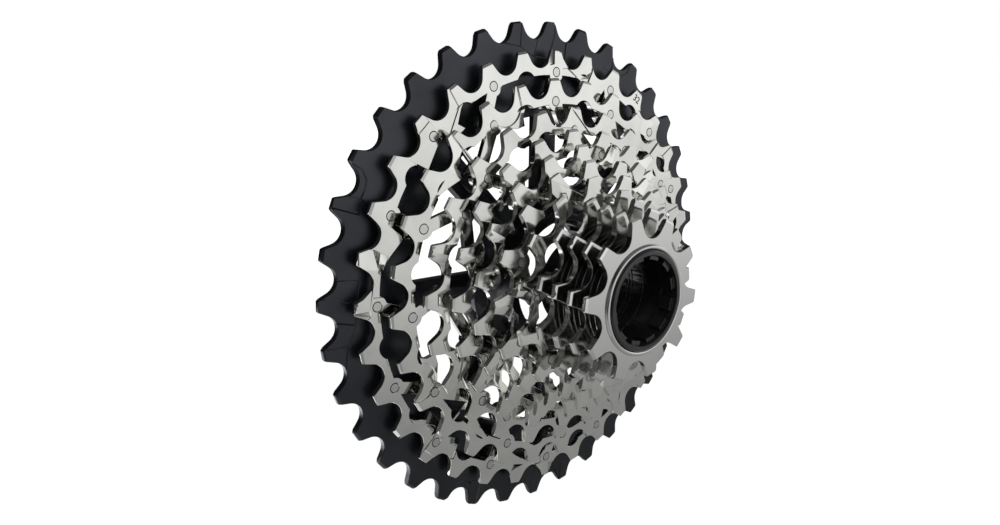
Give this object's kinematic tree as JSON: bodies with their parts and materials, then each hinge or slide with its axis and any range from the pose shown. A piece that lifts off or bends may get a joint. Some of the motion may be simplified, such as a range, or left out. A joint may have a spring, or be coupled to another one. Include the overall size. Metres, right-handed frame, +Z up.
{
  "type": "cassette sprocket",
  "caption": "Stepped stack of pinned toothed rings on a splined black carrier cog, narrowing to a one-piece small cog cluster that holds a spinning notched lock tube.",
  "frame": {"origin": "centre of the driver bore in the back face of the splined hub", "axes": "+Y along the axis towards the spokes, small cogs face -Y, +Z up"},
  "size_m": [0.1478, 0.0444, 0.1478],
  "materials": {
    "black_anodised_aluminium": "satin black anodised",
    "plated_plate_steel": "nickel chrome plated stamped steel",
    "plated_machined_steel": "nickel chrome plated machined steel",
    "pin_steel": "bright pressed steel pins",
    "black_lock_aluminium": "black anodised turned",
    "black_nylon": "moulded",
    "spring_steel": "dark spring steel"
  },
  "bodies": {
    "cassette": {"sprocket_36t": "black_anodised_aluminium", "sprocket_32t": "plated_plate_steel", "sprocket_28t": "plated_plate_steel", "sprocket_24t": "plated_plate_steel", "sprocket_21t": "plated_plate_steel", "sprocket_19t": "plated_plate_steel", "sprocket_17t": "plated_plate_steel", "sprocket_15t": "plated_plate_steel", "small_cluster_10_13t": "plated_machined_steel", "pins_36t_32t": "pin_steel", "pins_32t_28t": "pin_steel", "pins_28t_24t": "pin_steel", "pins_24t_21t": "pin_steel", "pins_21t_19t": "pin_steel", "pins_19t_17t": "pin_steel", "pins_17t_15t": "pin_steel", "pins_15t_13t": "pin_steel", "lock_tube_glide_ring": "black_nylon"},
    "lock_tube": {"lock_tube": "black_lock_aluminium", "lock_tube_clip": "spring_steel"}
  },
  "joints": [
    {"name": "lock_tube_spin", "type": "hinge", "parent": "cassette", "child": "lock_tube", "pos_m": [0, -0.033, 0], "axis": [0, -1, 0], "continuous": true}
  ]
}
